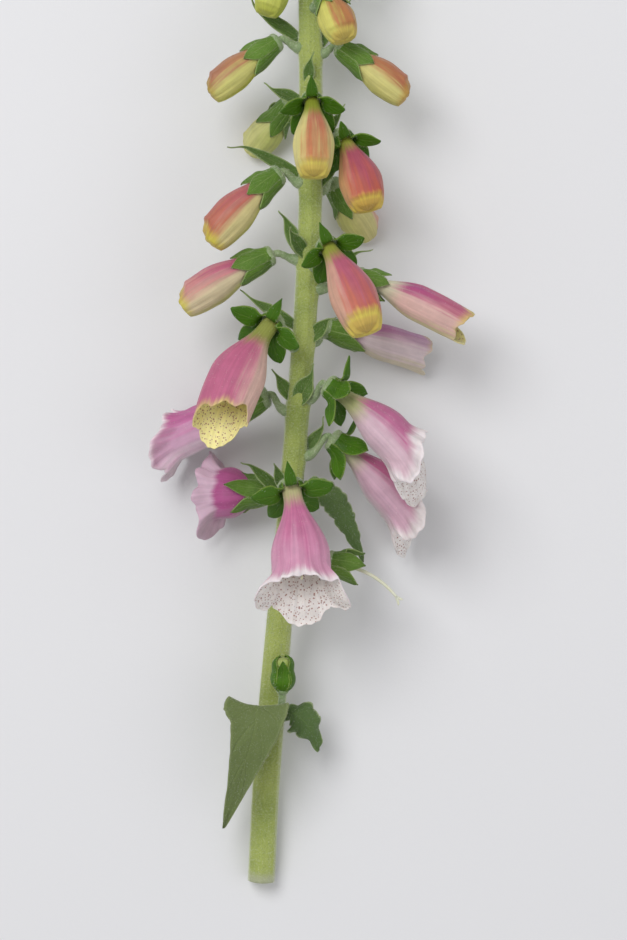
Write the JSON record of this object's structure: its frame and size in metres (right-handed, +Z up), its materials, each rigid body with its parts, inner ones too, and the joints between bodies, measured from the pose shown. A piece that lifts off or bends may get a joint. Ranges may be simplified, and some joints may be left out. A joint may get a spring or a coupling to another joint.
{
  "type": "foxglove flower spike",
  "caption": "Cut foxglove spike lying on its side: hairy green stem with hanging open bells, closed buds, bracts and small leaves.",
  "frame": {"origin": "middle of the part's box, on the surface that it lies on", "axes": "+Y along the spike from the cut end to the tip, +Z up from the surface, +X to the right seen from above with the tip away"},
  "size_m": [0.1114, 0.3758, 0.0657],
  "materials": {
    "stem": "matte yellow-green skin with short whitish hairs",
    "sepal": "satin green with fine hairs and paler margins",
    "leaf": "matte grey-green, downy, with a raised net of veins",
    "petal": "soft satin rose fading to cream, spotted inside the lip",
    "bud": "soft satin salmon and cream with a yellow tip",
    "green_bud": "soft satin yellow-green",
    "pistil": "smooth pale green"
  },
  "bodies": {
    "root": {"stem": "stem", "bell_front_calyx": "sepal", "bell_front_corolla": "petal", "bell_left_low_calyx": "sepal", "bell_left_low_corolla": "petal", "bell_right_low_calyx": "sepal", "bell_right_low_corolla": "petal", "bell_right_high_calyx": "sepal", "bell_right_high_corolla": "petal", "bell_left_far_calyx": "sepal", "bell_left_far_corolla": "petal", "bell_left_front_calyx": "sepal", "bell_left_front_corolla": "petal", "bell_right_far_calyx": "sepal", "bell_right_far_corolla": "petal", "bell_right_upper_calyx": "sepal", "bell_right_upper_corolla": "petal", "bud_right_front_calyx": "sepal", "bud_right_front_corolla": "bud", "bud_left_low_calyx": "sepal", "bud_left_low_corolla": "bud", "bud_left_mid_calyx": "sepal", "bud_left_mid_corolla": "bud", "bud_right_back_calyx": "sepal", "bud_right_back_corolla": "bud", "bud_right_mid_calyx": "sepal", "bud_right_mid_corolla": "bud", "bud_front_calyx": "sepal", "bud_front_corolla": "bud", "bud_left_back_calyx": "sepal", "bud_left_back_corolla": "bud", "bud_right_high_calyx": "sepal", "bud_right_high_corolla": "bud", "bud_left_high_calyx": "sepal", "bud_left_high_corolla": "bud", "bud_front_high_calyx": "sepal", "bud_front_high_corolla": "bud", "bud_left_top_calyx": "sepal", "bud_left_top_corolla": "bud", "bud_right_top_calyx": "sepal", "bud_right_top_corolla": "green_bud", "bud_back_top_calyx": "sepal", "bud_back_top_corolla": "green_bud", "bud_front_top_calyx": "sepal", "bud_front_top_corolla": "green_bud", "spent_calyx": "sepal", "spent_pistil": "pistil", "side_shoot_calyx": "sepal", "side_shoot_bud": "green_bud", "leaf_hanging": "leaf", "leaf_side": "leaf", "leafy_bract": "leaf"}
  },
  "joints": []
}
